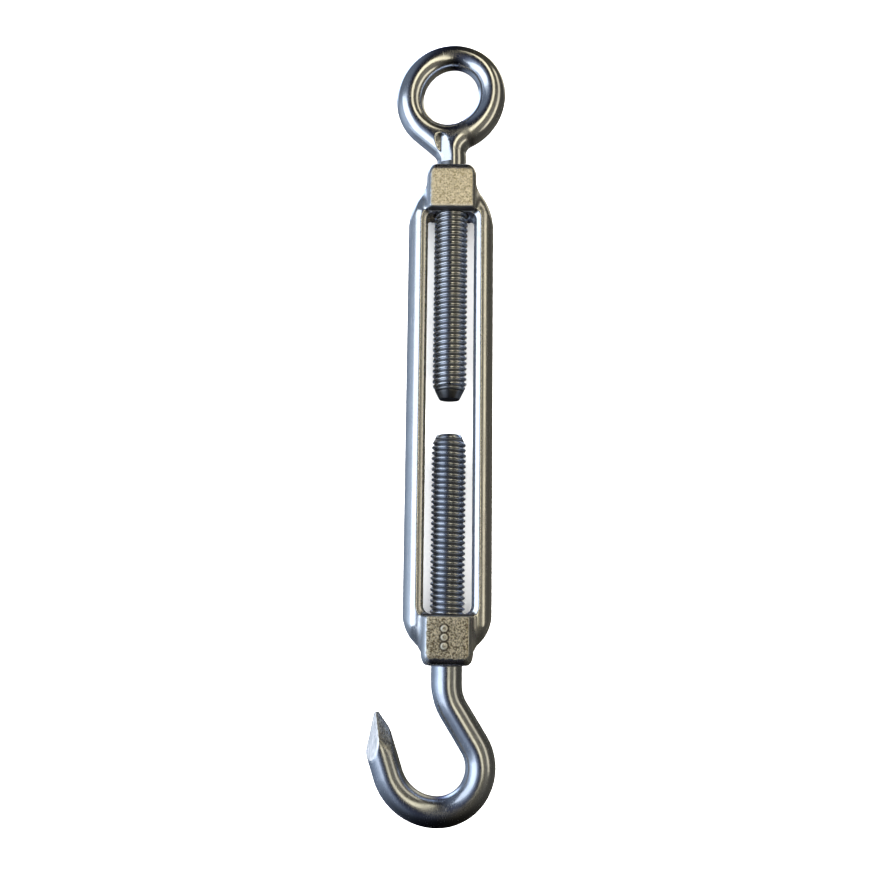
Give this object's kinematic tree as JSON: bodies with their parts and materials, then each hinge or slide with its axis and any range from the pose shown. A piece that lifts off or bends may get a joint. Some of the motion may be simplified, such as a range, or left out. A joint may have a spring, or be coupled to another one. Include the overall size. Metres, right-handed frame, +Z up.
{
  "type": "rigging turnbuckle",
  "caption": "Open-body rigging turnbuckle with an eye bolt on a right-hand thread and a hook bolt on a left-hand thread.",
  "frame": {"origin": "middle of the part's bounding box, at the height of the face it lies on", "axes": "+Y along the screw axis from the hook to the eye, +X across the frame to the side the hook's mouth faces away from, +Z up out of the plane of the frame"},
  "size_m": [0.0308, 0.1842, 0.0121],
  "materials": {
    "cast_stainless": "investment-cast stainless steel, rails polished to a mirror, boss faces left finely grained",
    "eye_bolt_stainless": "polished stainless steel",
    "hook_bolt_stainless": "polished stainless steel, slightly satin, with a ground tip"
  },
  "bodies": {
    "frame": {"frame": "cast_stainless"},
    "eye_screw": {"eye_bolt_point": "eye_bolt_stainless"},
    "eye_bolt": {"eye_bolt": "eye_bolt_stainless"},
    "hook_screw": {"hook_bolt_point": "hook_bolt_stainless"},
    "hook_bolt": {"hook_bolt": "hook_bolt_stainless"}
  },
  "joints": [
    {"name": "eye_travel", "type": "slide", "parent": "frame", "child": "eye_screw", "axis": [0, 1, 0], "range_m": [0, 0.045]},
    {"name": "eye_turn", "type": "hinge", "parent": "eye_screw", "child": "eye_bolt", "pos_m": [0.00248, 0.05991, 0.0059], "axis": [0, 1, 0], "range_deg": [0, 12961]},
    {"name": "hook_travel", "type": "slide", "parent": "frame", "child": "hook_screw", "axis": [0, -1, 0], "range_m": [0, 0.04]},
    {"name": "hook_turn", "type": "hinge", "parent": "hook_screw", "child": "hook_bolt", "pos_m": [0.00248, -0.05689, 0.0059], "axis": [0, 1, 0], "range_deg": [0, 11521]}
  ],
  "couplings": [
    {"joint": "eye_turn", "follows": "eye_travel", "rad_per_m": 5026.5},
    {"joint": "hook_turn", "follows": "hook_travel", "rad_per_m": 5026.5}
  ]
}
